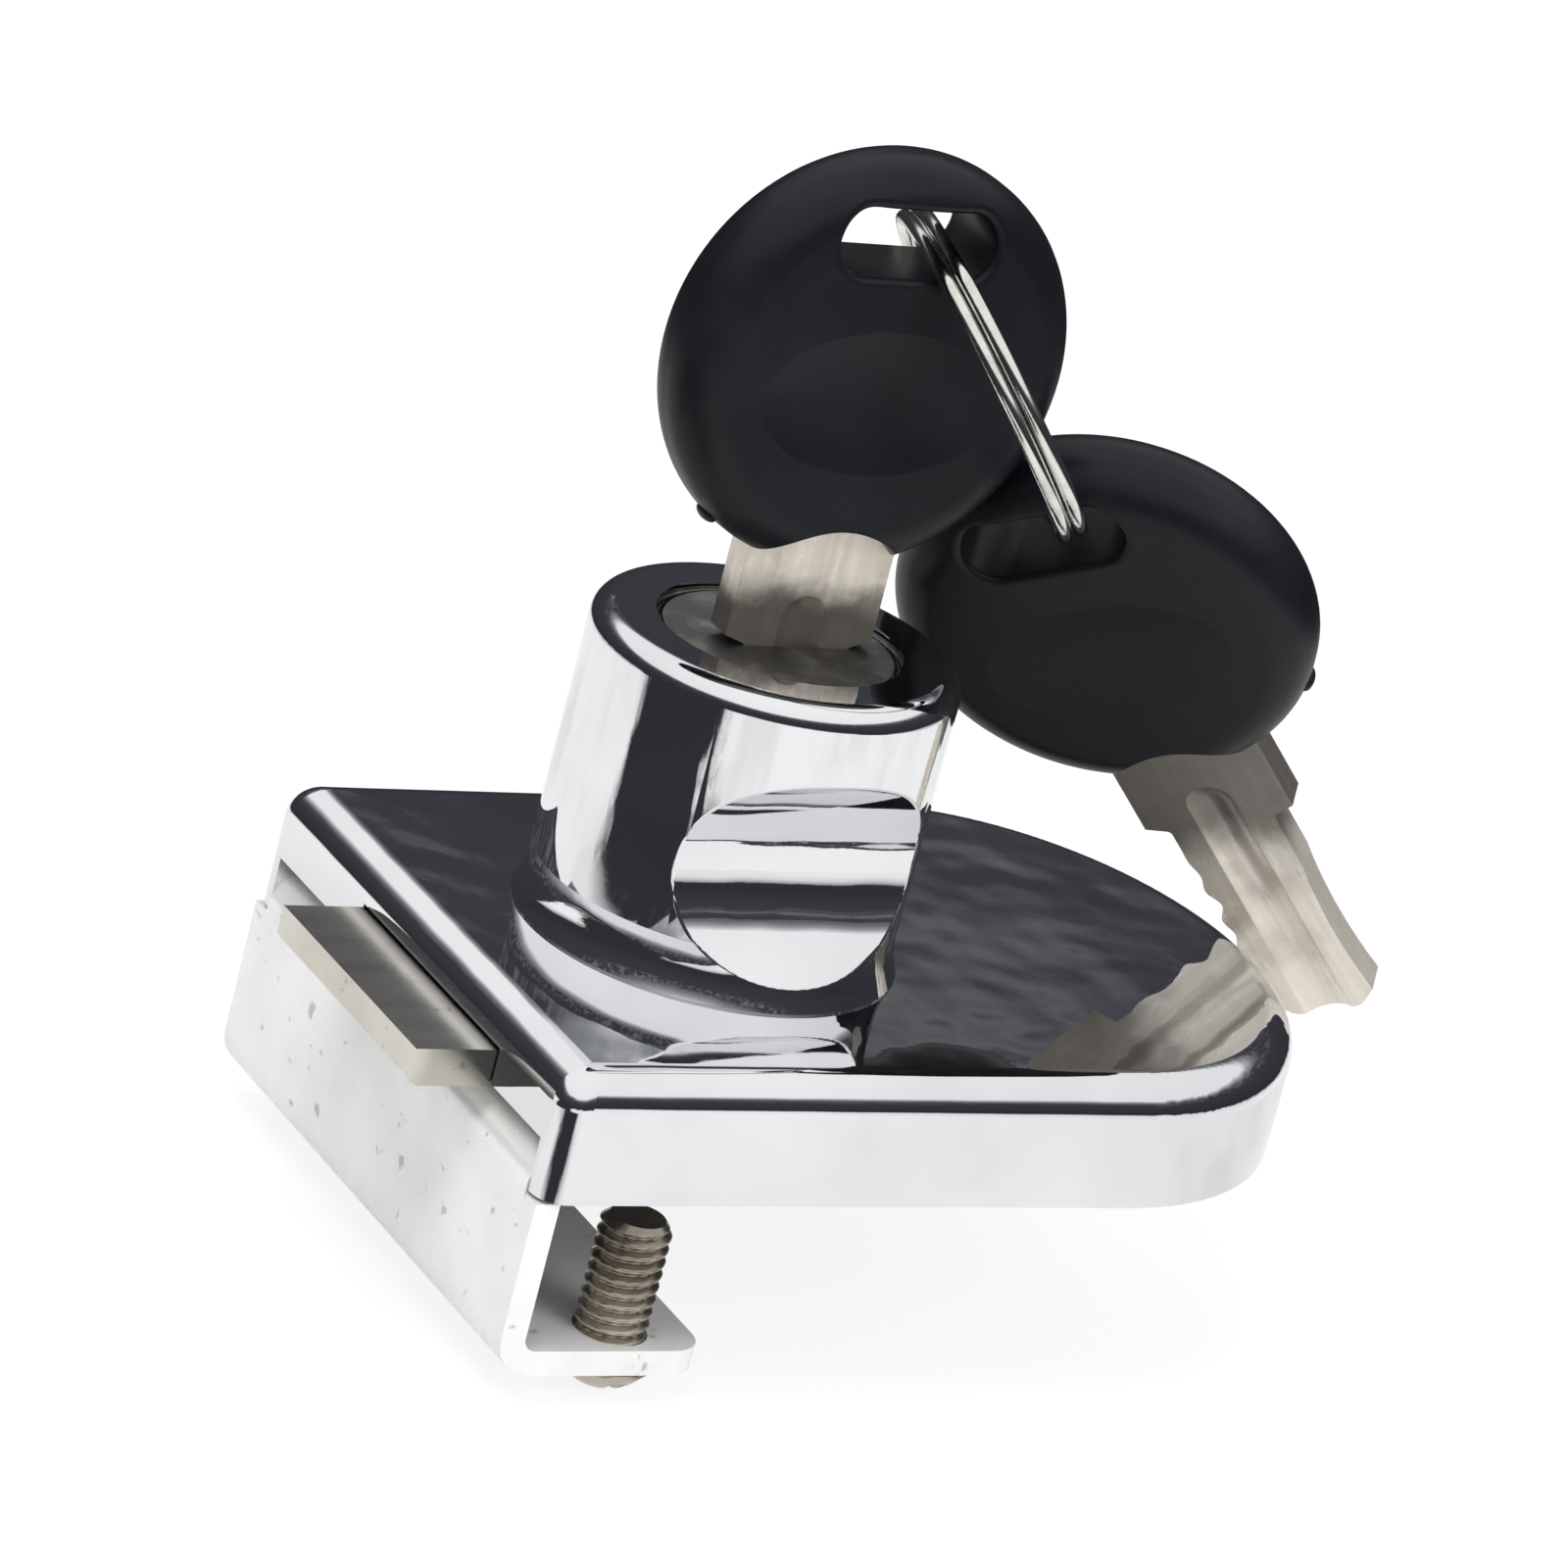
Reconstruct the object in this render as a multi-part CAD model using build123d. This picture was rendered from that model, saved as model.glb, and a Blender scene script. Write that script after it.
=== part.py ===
from build123d import *
import os
from math import asin, cos, radians, sin, sqrt

# Lengths are in millimetres, angles in degrees.
# The origin is on the axis of the key cylinder at the underside of the lock, where the glass lies.
# +X runs along the plate to its rounded end, +Z runs up the cylinder, and the bolt leaves towards -X.

# Plate and tower, one die casting
plate_length = 54.0
plate_width = 38.0
plate_height = 7.5
tower_setback = 17.5
nose_length = 16.9
end_corner_radius = 1.6
rim_radius = 2.1
end_rim_radius = 0.55
plate_wall = 1.7
tower_diameter = 21.0
tower_height = 18.0
tower_rim_radius = 1.25
tower_foot_spread = 0.5
tower_foot_height = 3.2
tower_foot_step = 0.1
scoop_radius = 7.3
scoop_depth = 3.15
scoop_rise = 7.5
scoop_lip_radius = 0.25

# Plug that the key turns
plug_head_diameter = 13.9
plug_head_height = 3.0
plug_sink = 0.4
plug_diameter = 10.9
plug_fit = 0.05
head_ring_gap = 0.2
head_ring_depth = 0.8
plug_edge = 0.25
key_slot_fit = 0.1
key_offset = 0.64
slot_floor = 0.5
wafer_track_depth = 0.8
drive_square = 4.0
drive_square_height = 1.2
square_fit = 0.03

# Wafers and their springs
wafer_count = 5
wafer_pitch = 2.4
wafer_top_drop = 4.4
wafer_thickness = 1.1
wafer_width = 4.8
wafer_fit = 0.05
wafer_window_play = 0.39
wafer_lug = 1.1
spring_diameter = 1.0
spring_length = 2.2

# Cam, its pin and its screw
cam_diameter = 14.6
cam_thickness = 2.6
cam_fit = 0.3
cam_pin_throw = 5.0
cam_pin_diameter = 3.0
cam_pin_end_gap = 0.25
cam_screw_diameter = 2.5
cam_screw_head_diameter = 6.4
cam_screw_head_height = 0.8
cam_screw_length = 3.0
screw_fit = 0.02

# Bolt
bolt_side_margin = 10.25
bolt_thickness = 2.2
bolt_offset = -2.0
bolt_reach = 5.0
bolt_tail = 6.2
bolt_fit = 0.12
bolt_top_gap = 0.15
bolt_tip_bevel = 0.5
bolt_slot_play = 1.2
bolt_foot_diameter = 3.0
bolt_foot_height = 0.65
bolt_foot_gap = 0.05
guide_thickness = 1.5
guide_reach = 13.5

# Clamp bracket, bent from one strip
strip_thickness = 1.5
pad_thickness = 0.7
leaf_stand_off = 0.1
leaf_depth = 10.6
leaf_end_inset = 0.5
leaf_top_gap = 0.2
lower_leaf_reach = 13.0
upper_bend_radius = 2.0
lower_bend_radius = 2.3
leaf_corner_radius = 2.0
flange_reach = 16.3
flange_side_gap = 0.2
wall_edge_lift = 0.9
pad_inset = 0.6

# Screws that hold the bracket in the casting
fixing_diameter = 2.5
fixing_head_diameter = 4.6
fixing_head_height = 1.2
fixing_length = 4.2
fixing_edge = 3.2
fixing_setback = 3.5
boss_diameter = 5.4

# Screws that clamp the glass
clamp_diameter = 4.1
clamp_length = 8.4
clamp_fit = 0.06
clamp_inset = 2.7
clamp_setback = 4.8
clamp_head_diameter = 5.6
clamp_head_height = 1.8
clamp_drive_width = 0.9
clamp_drive_depth = 1.1
clamp_tip_bevel = 0.4

# Key blade
blade_thickness = 1.8
collar_width = 9.3
collar_length = 8.3
tooth_width = 6.5
tooth_length = 15.8
tooth_tip_inset = 1.2
tooth_tip_radius = 1.0
shoulder_slope = 0.5
shoulder_round = 0.35
cut_depth = 0.5
bay_depth = 0.35
bay_start = 4.0
groove_radius = 2.4
groove_depth = 0.5
groove_run_in = 1.6
tang_width = 7.6
tang_length = 11.0
tang_hole_diameter = 3.0
seat_gap = 0.05

# Key head
head_diameter = 24.0
head_thickness = 5.8
head_centre = 16.9
head_edge_radius = 2.6
arch_width = 8.8
arch_rise = 2.0
ring_hole_length = 9.7
ring_hole_width = 3.9
ring_hole_rise = 7.55
ring_hole_edge = 0.45
panel_length = 14.8
panel_width = 8.4
panel_drop = 1.6
panel_depth = 0.35
tang_fit = 0.05

# Split ring, and how the ring and the spare key hang
ring_wire = 0.85
ring_radius = 9.76
ring_coil_gap = 0.05
ring_turns = 2
ring_pass_across = 2.36
ring_pass_drop = 0.22
ring_roll, ring_pitch, ring_yaw = -160.89, -50.53, -164.04
ring_arc_between_keys = 177.62
ring_ends_turn = 90.0
spare_pass_across = 0.09
spare_pass_rise = 0.59
spare_roll, spare_pitch, spare_yaw = -1.21, -43.11, -44.04

# Reach of a cutting tool past the face it leaves, and how near an edge lies to the place it is picked by
overrun = 2.0
pick_tolerance = 0.01

# Sizes that follow from the ones above
flange_bottom = pad_thickness
flange_top = pad_thickness + strip_thickness
bolt_bottom = flange_top + bolt_foot_gap + bolt_foot_height
bolt_top = bolt_bottom + bolt_thickness
cavity_top = bolt_top + bolt_top_gap
cam_bottom = cavity_top + plug_fit
cam_top = cam_bottom + cam_thickness
pocket_top = cam_top + plug_fit
tower_top = plate_height + tower_height
plug_face = tower_top - plug_sink
head_seat = plug_face - plug_head_height
slot_bottom = plug_face - tooth_length - slot_floor
nose_centre = plate_length - tower_setback - nose_length
half_width = plate_width / 2
tower_radius = tower_diameter / 2
inner_half_width = half_width - plate_wall
flange_half_width = inner_half_width - flange_side_gap
bolt_width = plate_width - 2 * bolt_side_margin
leaf_half_length = half_width - leaf_end_inset
leaf_outer = -tower_setback - leaf_stand_off
leaf_inner = leaf_outer + strip_thickness
lower_leaf_edge = leaf_outer + lower_leaf_reach
clamp_x = lower_leaf_edge - clamp_setback
clamp_y = leaf_half_length - clamp_inset
wall_edge = flange_top + wall_edge_lift
bore_radius = plug_diameter / 2 + plug_fit
head_bore_radius = plug_head_diameter / 2 + plug_fit


def cylinder(radius, bottom, top, x=0, y=0):
    """Upright round bar between two heights."""
    return Pos(x, y, bottom) * extrude(Circle(radius), amount=top - bottom)


def block(x_range, y_range, z_range):
    """Box between two corners."""
    size = [high - low for low, high in (x_range, y_range, z_range)]
    centre = [(high + low) / 2 for low, high in (x_range, y_range, z_range)]
    return Pos(*centre) * Box(*size)


def plate_outline(inset, corner):
    """Plan of the plate: a square end towards -X and a half ellipse towards +X."""
    left = inset - tower_setback
    half = half_width - inset
    nose = nose_length - inset
    lower = (nose_centre, -half)
    upper = (nose_centre, half)
    sides = Polyline(lower, (left, -half), (left, half), upper)
    end = EllipticalCenterArc((nose_centre, 0), nose, half, start_angle=-90, arc_size=180)
    face = make_face([*sides.edges(), end])
    square = [v for v in face.vertices() if abs(v.X - left) < corner]
    return fillet(square, corner)


# Casting

def fixing_places():
    """Centres of the bracket's fixing screws."""
    near = flange_half_width - fixing_edge
    left = -tower_setback + plate_wall + fixing_setback
    right = flange_reach - fixing_setback
    return [(x, y) for x in (left, right) for y in (-near, near)]


def tower():
    """Round tower with a rolled top rim and a flared foot."""
    foot = tower_radius + tower_foot_spread
    step = plate_height + tower_foot_step
    flare_top = plate_height + tower_foot_height
    sag_x = tower_radius + tower_foot_spread / 4
    sag_z = step + (flare_top - step) / 3
    rim = tower_top - tower_rim_radius
    rim_mid = tower_rim_radius * (1 - cos(radians(45)))
    base = Polyline((0, cavity_top), (foot, cavity_top), (foot, step))
    flare = ThreePointArc((foot, step), (sag_x, sag_z), (tower_radius, flare_top))
    side = Line((tower_radius, flare_top), (tower_radius, rim))
    roll = ThreePointArc(
        (tower_radius, rim),
        (tower_radius - rim_mid, tower_top - rim_mid),
        (tower_radius - tower_rim_radius, tower_top),
    )
    cap = Polyline((tower_radius - tower_rim_radius, tower_top), (0, tower_top), (0, cavity_top))
    section = make_face([*base.edges(), flare, side, roll, *cap.edges()])
    return revolve(Plane.XZ * section, Axis.Z)


def scooped_tower():
    """The tower with its thumb scoops and a small round along their lips."""
    body = tower() - scoops()
    hollow = [
        face for face in body.faces().filter_by(GeomType.CYLINDER)
        if abs(face.radius - scoop_radius) < pick_tolerance
    ]
    lips = ShapeList([edge for face in hollow for edge in face.edges()])
    return fillet(lips, scoop_lip_radius)


def scoops():
    """Thumb scoops milled into both sides of the tower."""
    centre_y = tower_radius - scoop_depth + scoop_radius
    reach = tower_diameter
    bar = Rot(0, 90, 0) * Cylinder(scoop_radius, reach)
    height = plate_height + scoop_rise
    return [Pos(0, side * centre_y, height) * bar for side in (-1, 1)]


def lock_body():
    """Plate and tower in one casting, hollow underneath, with guides and bosses."""
    shell = extrude(plate_outline(0, end_corner_radius), amount=plate_height)
    top_edges = shell.edges().filter_by(lambda e: abs(e.center().Z - plate_height) < pick_tolerance)
    square_end = [e for e in top_edges if abs(e.center().X + tower_setback) < pick_tolerance]
    rolled = [e for e in top_edges if e.center().X + tower_setback > end_corner_radius]
    shell = fillet(rolled, rim_radius)
    shell = soften_square_end(shell)
    cavity = extrude(plate_outline(plate_wall, end_corner_radius), amount=cavity_top)
    body = shell - cavity
    inner_left = -tower_setback + plate_wall
    guides = [
        block((inner_left, guide_reach), sorted((edge, edge + side * guide_thickness)), (flange_top, cavity_top))
        for side, edge in (
            (-1, bolt_offset - bolt_width / 2 - bolt_fit),
            (1, bolt_offset + bolt_width / 2 + bolt_fit),
        )
    ]
    bosses = [cylinder(boss_diameter / 2, flange_top, cavity_top, x, y) for x, y in fixing_places()]
    body = body + guides + bosses + scooped_tower()
    body = body - cylinder(cam_diameter / 2 + cam_fit, cavity_top - overrun, pocket_top)
    body = body - cylinder(bore_radius, pocket_top - overrun, tower_top)
    body = body - cylinder(head_bore_radius, head_seat, tower_top + overrun)
    track = wafer_width + 2 * wafer_fit
    track_reach = bore_radius + wafer_track_depth
    track_bottom = plug_face - wafer_top_drop - wafer_count * wafer_pitch
    body = body - block((-track / 2, track / 2), (-track_reach, track_reach), (track_bottom, head_seat))
    slot_sides = (bolt_offset - bolt_width / 2 - bolt_fit, bolt_offset + bolt_width / 2 + bolt_fit)
    wall_cut = (-tower_setback - overrun, inner_left + end_corner_radius)
    body = body - block(wall_cut, slot_sides, (0, cavity_top))
    body = body - block(wall_cut, (-flange_half_width, flange_half_width), (-overrun, wall_edge))
    for x, y in fixing_places():
        top = flange_top + fixing_length - fixing_head_height
        body = body - cylinder(fixing_diameter / 2 + screw_fit, flange_top - overrun, top, x, y)
    return body


def soften_square_end(shell):
    """Small round on the top edge of the square end."""
    edges = [
        e for e in shell.edges()
        if abs(e.center().X + tower_setback) < pick_tolerance
        and abs(e.center().Z - plate_height) < pick_tolerance
    ]
    return fillet(edges, end_rim_radius) if edges else shell


# Bracket and what holds it

def bracket_section():
    """Side view of the bent strip: flange, leaf and lower leaf."""
    bottom = -leaf_depth
    points = [
        (flange_reach, flange_top),
        (leaf_outer, flange_top),
        (leaf_outer, bottom),
        (lower_leaf_edge, bottom),
        (lower_leaf_edge, bottom + strip_thickness),
        (leaf_inner, bottom + strip_thickness),
        (leaf_inner, flange_bottom),
        (flange_reach, flange_bottom),
    ]
    face = make_face(Polyline(*points, close=True).edges())
    bends = [
        ((leaf_outer, flange_top), upper_bend_radius),
        ((leaf_outer, bottom), lower_bend_radius),
        ((leaf_inner, bottom + strip_thickness), lower_bend_radius - strip_thickness),
        ((leaf_inner, flange_bottom), upper_bend_radius - strip_thickness),
    ]
    for (x, z), radius in bends:
        corner = face.vertices().sort_by_distance((x, z, 0))[0]
        face = fillet(corner, radius)
    return face


def clamp_bracket():
    """Bent steel strip that hooks round the edge of the glass."""
    strip = extrude(Plane.XZ * bracket_section(), amount=leaf_half_length, both=True)
    for side in (-1, 1):
        edges = sorted((side * flange_half_width, side * (leaf_half_length + overrun)))
        reach = (leaf_outer - overrun, flange_reach + overrun)
        strip = strip - block(reach, edges, (-leaf_top_gap, flange_top + overrun))
    corners = [
        e for e in strip.edges().filter_by(Axis.Z)
        if abs(e.center().X - lower_leaf_edge) < pick_tolerance
    ]
    strip = fillet(corners, leaf_corner_radius)
    for side in (-1, 1):
        hole = clamp_diameter / 2 + clamp_fit
        strip = strip - cylinder(hole, -leaf_depth - overrun, flange_bottom - overrun, clamp_x, side * clamp_y)
    for x, y in fixing_places():
        strip = strip - fixing_screw(screw_fit, x, y)
    return strip


def fixing_screw(grow, x, y):
    """Countersunk screw, head down and flush with the flange, or the hole it needs."""
    shank = fixing_diameter / 2 + grow
    head = fixing_head_diameter / 2 + grow
    cone = loft([
        Pos(0, 0, flange_bottom) * Circle(head),
        Pos(0, 0, flange_bottom + fixing_head_height) * Circle(shank),
    ])
    bar = cylinder(shank, flange_bottom + fixing_head_height, flange_bottom + fixing_length)
    return Pos(x, y, 0) * (cone + bar)


def bracket_screws():
    """The countersunk screws with their cross slots."""
    screws = []
    cut = fixing_diameter / 5
    for x, y in fixing_places():
        screw = fixing_screw(0, x, y)
        depth = (flange_bottom - overrun, flange_bottom + fixing_head_height / 2)
        for wide, long in ((cut, fixing_diameter), (fixing_diameter, cut)):
            screw = screw - block((x - wide / 2, x + wide / 2), (y - long / 2, y + long / 2), depth)
        screws.append(screw)
    return screws


def glass_pad():
    """Thin strip between the flange and the glass."""
    left = leaf_inner + upper_bend_radius
    right = flange_reach - pad_inset
    half = flange_half_width - pad_inset
    outline = Pos((left + right) / 2, 0) * RectangleRounded(right - left, 2 * half, end_corner_radius)
    return extrude(outline, amount=pad_thickness)


def clamp_screw(side):
    """Screw that rises through the lower leaf and presses on the glass."""
    seat = -leaf_depth - seat_gap
    tip = seat + clamp_length
    radius = clamp_diameter / 2
    screw = cylinder(radius, seat, tip)
    screw = chamfer(screw.edges().sort_by(Axis.Z)[-1], clamp_tip_bevel)
    head_radius = clamp_head_diameter / 2
    drop = clamp_head_height
    dome = (head_radius * head_radius + drop * drop) / (2 * drop)
    rise = dome - drop
    mid = asin(head_radius / dome) / 2
    curve = ThreePointArc((0, -drop), (dome * sin(mid), rise - dome * cos(mid)), (head_radius, 0))
    flat = Polyline((head_radius, 0), (0, 0), (0, -drop))
    head = revolve(Plane.XZ * make_face([curve, *flat.edges()]), Axis.Z)
    screw = screw + Pos(0, 0, seat) * head
    floor = seat - drop + clamp_drive_depth
    half = clamp_drive_width / 2
    screw = screw - block((-half, half), (-head_radius, head_radius), (seat - drop - overrun, floor))
    return Pos(clamp_x, side * clamp_y, 0) * screw


# Plug, wafers and cam

def wafer_heights():
    """Bottom of each wafer, from the top one down."""
    return [plug_face - wafer_top_drop - k * wafer_pitch for k in range(wafer_count)]


def plug():
    """Plug with the key slot, the wafer slots and a square end for the cam."""
    head = cylinder(plug_head_diameter / 2, head_seat + plug_fit, plug_face)
    head = chamfer(head.edges().sort_by(Axis.Z)[-1], plug_edge)
    body = head + cylinder(plug_diameter / 2, cam_top, head_seat + plug_fit)
    half = drive_square / 2
    body = body + block((-half, half), (-half, half), (cam_top - drive_square_height, cam_top))
    ring_outer = plug_head_diameter / 2 - head_ring_gap
    ring = cylinder(ring_outer, plug_face - head_ring_depth, plug_face + overrun)
    ring = ring - cylinder(ring_outer - head_ring_gap, plug_face - head_ring_depth, plug_face + overrun)
    body = body - ring
    half_long = tooth_width / 2 + key_slot_fit
    half_thick = blade_thickness / 2 + key_slot_fit
    slot_x = (key_offset - half_long, key_offset + half_long)
    body = body - block(slot_x, (-half_thick, half_thick), (slot_bottom, plug_face + overrun))
    half_wafer = wafer_width / 2 + wafer_fit
    for z in wafer_heights():
        slot = (z - wafer_fit, z + wafer_thickness + wafer_fit)
        body = body - block((-plug_diameter, plug_diameter), (-half_wafer, half_wafer), slot)
        body = body - spring_room(z)
    screw_top = cam_bottom + cam_screw_length
    return body - cylinder(cam_screw_diameter / 2 + screw_fit, cam_bottom, screw_top)


def spring_room(z):
    """Pocket beside a wafer for its lug and its spring."""
    low = wafer_width / 2
    high = low + spring_diameter + 2 * wafer_fit
    left = -wafer_lug / 2 - wafer_fit
    return block((left, left + wafer_lug + spring_length + 2 * wafer_fit), (low, high),
                 (z - wafer_fit, z + wafer_thickness + wafer_fit))


def wafer(z):
    """Flat tumbler with a window for the key and a lug for its spring."""
    disc = cylinder(plug_diameter / 2 - wafer_fit, z, z + wafer_thickness)
    half = wafer_width / 2
    plate = disc & block((-plug_diameter, plug_diameter), (-half, half), (z, z + wafer_thickness))
    window = tooth_width / 2 + wafer_window_play
    window_x = (key_offset - window, key_offset + window)
    window_y = blade_thickness / 2 + key_slot_fit
    plate = plate - block(window_x, (-window_y, window_y), (z - overrun, z + overrun))
    lug = block((-wafer_lug / 2, wafer_lug / 2), (half, half + spring_diameter), (z, z + wafer_thickness))
    return plate + lug


def wafer_springs():
    """Coil springs of the wafers, kept as plain bars because the plug hides them."""
    bars = []
    for z in wafer_heights():
        bar = Rot(0, 90, 0) * Cylinder(spring_diameter / 2, spring_length)
        x = wafer_lug / 2 + spring_length / 2
        bars.append(Pos(x, wafer_width / 2 + spring_diameter / 2 + wafer_fit, z + wafer_thickness / 2) * bar)
    return bars


def cam_disc():
    """Disc on the square end of the plug that carries the drive pin off centre."""
    disc = cylinder(cam_diameter / 2, cam_bottom, cam_top)
    half = drive_square / 2 + square_fit
    square_bottom = cam_top - drive_square_height - square_fit
    disc = disc - block((-half, half), (-half, half), (square_bottom, cam_top + overrun))
    disc = disc - cylinder(cam_screw_diameter / 2 + screw_fit, cam_bottom - overrun, cam_top)
    head = cam_screw_head_diameter / 2 + screw_fit
    disc = disc - cylinder(head, cam_bottom - overrun, cam_bottom + cam_screw_head_height)
    return disc - cylinder(cam_pin_diameter / 2, cam_bottom - overrun, cam_top + overrun, 0, -cam_pin_throw)


def drive_pin():
    """Pin pressed into the cam that pushes the bolt."""
    bottom = bolt_bottom + cam_pin_end_gap
    pin = cylinder(cam_pin_diameter / 2, bottom, cam_top, 0, -cam_pin_throw)
    return chamfer(pin.edges().sort_by(Axis.Z)[0], cam_pin_end_gap)


def cam_screw():
    """Screw that holds the cam on the plug."""
    head_top = cam_bottom + cam_screw_head_height
    head = cylinder(cam_screw_head_diameter / 2, cam_bottom, head_top)
    screw = head + cylinder(cam_screw_diameter / 2, head_top, cam_bottom + cam_screw_length)
    half = cam_screw_diameter / 8
    slot = block((-cam_screw_diameter, cam_screw_diameter), (-half, half), (cam_bottom - overrun, cam_bottom + half))
    return screw - slot


# Bolt

def bolt():
    """Flat bolt with a cross slot for the drive pin and feet that ride on the flange."""
    tip = -tower_setback - bolt_reach
    sides = (bolt_offset - bolt_width / 2, bolt_offset + bolt_width / 2)
    plate = block((tip, bolt_tail), sides, (bolt_bottom, bolt_top))
    lower_tip = [
        e for e in plate.edges().filter_by(Axis.Y)
        if abs(e.center().X - tip) < pick_tolerance and abs(e.center().Z - bolt_bottom) < pick_tolerance
    ]
    plate = chamfer(lower_tip, bolt_tip_bevel)
    pin = cam_pin_diameter / 2
    slot_x = pin + bolt_slot_play
    slot_y = (-cam_pin_throw - pin - bolt_fit, pin + bolt_fit)
    plate = plate - block((-slot_x, slot_x), slot_y, (bolt_bottom - overrun, bolt_top + overrun))
    foot = bolt_foot_diameter / 2
    x_places = (-tower_setback + plate_wall + bolt_reach + bolt_foot_diameter, bolt_tail - foot - bolt_foot_gap)
    y_places = (sides[0] + bolt_foot_diameter, sides[1] - bolt_foot_diameter)
    for x in x_places:
        for y in y_places:
            plate = plate + cylinder(foot, flange_top + bolt_foot_gap, bolt_bottom, x, y)
    return plate


# Keys, drawn with their seat on the plug at z = 0 and their head up

def key_blade():
    """Flat blade: tang, collar, and the cut part that enters the plug."""
    half = tooth_width / 2
    collar = collar_width / 2
    tang = tang_width / 2
    top = collar_length + tang_length
    shoulder = seat_gap + shoulder_slope
    left = cut_edge()
    right = bay_edge((left @ 1).Y)
    point = half - tooth_tip_inset
    tip = Polyline(left @ 1, (-point, -tooth_length), (point, -tooth_length), right @ 1)
    outline = Polyline(
        right @ 0, (half, seat_gap), (collar, shoulder), (collar, collar_length), (tang, collar_length),
        (tang, top), (-tang, top), (-tang, collar_length), (-collar, collar_length), (-collar, shoulder),
        (-half, seat_gap), left @ 0,
    )
    face = make_face([left, right, *tip.edges(), *outline.edges()])
    tips = [v for v in face.vertices() if abs(v.Y + tooth_length) < pick_tolerance]
    face = fillet(tips, tooth_tip_radius)
    necks = [v for v in face.vertices() if abs(v.Y - seat_gap) < pick_tolerance]
    face = fillet(necks, shoulder_round)
    blade = extrude(Plane.XZ * face, amount=blade_thickness / 2, both=True)
    hole = Rot(90, 0, 0) * Cylinder(tang_hole_diameter / 2, blade_thickness + overrun)
    blade = blade - Pos(0, 0, collar_length + tang_length / 2) * hole
    return blade - grooves()


def cut_edge():
    """Wavy edge of the blade, with a cut for each wafer."""
    edge = -tooth_width / 2
    depth_shares = (0.45, 1.0, 0.6, 0.85, 0.35)
    points = [(edge, -wafer_top_drop + wafer_thickness / 2 + wafer_pitch)]
    for k, share in enumerate(depth_shares[:wafer_count]):
        z = -wafer_top_drop + wafer_thickness / 2 - k * wafer_pitch
        points.append((edge, z + wafer_pitch / 2))
        points.append((edge + share * cut_depth, z))
    points.append((edge, points[-1][1] - wafer_pitch / 2))
    return Spline(*points, tangents=((0, -1), (0, -1)))


def bay_edge(end):
    """Other edge of the blade, with one long shallow bay."""
    edge = tooth_width / 2
    start = -bay_start
    return ThreePointArc((edge, start), (edge - bay_depth, (start + end) / 2), (edge, end))


def grooves():
    """Round-bottomed groove along the middle of both faces."""
    centre_y = blade_thickness / 2 + groove_radius - groove_depth
    length = tooth_length + groove_run_in + overrun
    cutters = []
    for side in (-1, 1):
        bar = Pos(0, side * centre_y, groove_run_in - length / 2) * Cylinder(groove_radius, length)
        cutters.append(bar + Pos(0, side * centre_y, groove_run_in) * Sphere(groove_radius))
    return cutters


def head_disc():
    """Round head with a rolled rim and an arch over the blade."""
    radius = head_diameter / 2
    half = head_thickness / 2
    rim = radius - head_edge_radius
    corner = half - head_edge_radius
    diagonal = head_edge_radius * cos(radians(45))
    lines = Polyline((rim, half), (0, half), (0, -half), (rim, -half))
    lower = ThreePointArc((rim, -half), (rim + diagonal, -corner - diagonal), (radius, -corner))
    side = Line((radius, -corner), (radius, corner))
    upper = ThreePointArc((radius, corner), (rim + diagonal, corner + diagonal), (rim, half))
    disc = revolve(make_face([*lines.edges(), lower, side, upper]), Axis.Y)
    span = arch_width / 2
    foot = sqrt(radius * radius - span * span)
    arch = (span * span + arch_rise * arch_rise) / (2 * arch_rise)
    return disc - Pos(0, 0, -foot + arch_rise - arch) * Rot(90, 0, 0) * Cylinder(arch, head_thickness)


def thumb_dish(side):
    """Shallow oval hollow in one face of the head."""
    half_long = panel_length / 2
    half_wide = panel_width / 2
    ball = (half_long * half_long + panel_depth * panel_depth) / (2 * panel_depth)
    oval = scale(Sphere(ball), by=(1, 1, half_wide / half_long))
    return Pos(0, side * (head_thickness / 2 - panel_depth + ball), -panel_drop) * oval


def key_head():
    """Moulded head that holds the tang of the blade."""
    head = head_disc()
    oval = Pos(0, ring_hole_rise) * SlotOverall(ring_hole_length, ring_hole_width)
    hole = extrude(Plane.XZ * oval, amount=head_thickness, both=True)
    head = head - hole
    lips = [
        e for e in head.edges()
        if abs(abs(e.center().Y) - head_thickness / 2) < pick_tolerance
        and abs(e.center().Z - ring_hole_rise) < ring_hole_width
        and abs(e.center().X) < ring_hole_length / 2
    ]
    head = fillet(lips, ring_hole_edge)
    for side in (-1, 1):
        head = head - thumb_dish(side)
    head = Pos(0, 0, head_centre) * head
    half = tang_width / 2 + tang_fit
    thick = blade_thickness / 2 + tang_fit
    top = collar_length + tang_length + tang_fit
    collar = collar_width / 2 + tang_fit
    head = head - block((-half, half), (-thick, thick), (0, top))
    return head - block((-collar, collar), (-thick, thick), (0, collar_length + tang_fit))


# Ring

def key_place():
    """Where the key in the plug stands."""
    return Pos(key_offset, 0, plug_face)


def ring_frame():
    """Plane of the ring, with its x direction through the hole of the key in the plug."""
    rise = plug_face + head_centre + ring_hole_rise - ring_pass_drop
    crossing = Pos(key_offset + ring_pass_across, 0, rise)
    return crossing * Rot(ring_roll, ring_pitch, ring_yaw) * Pos(-ring_radius, 0, 0)


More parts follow.
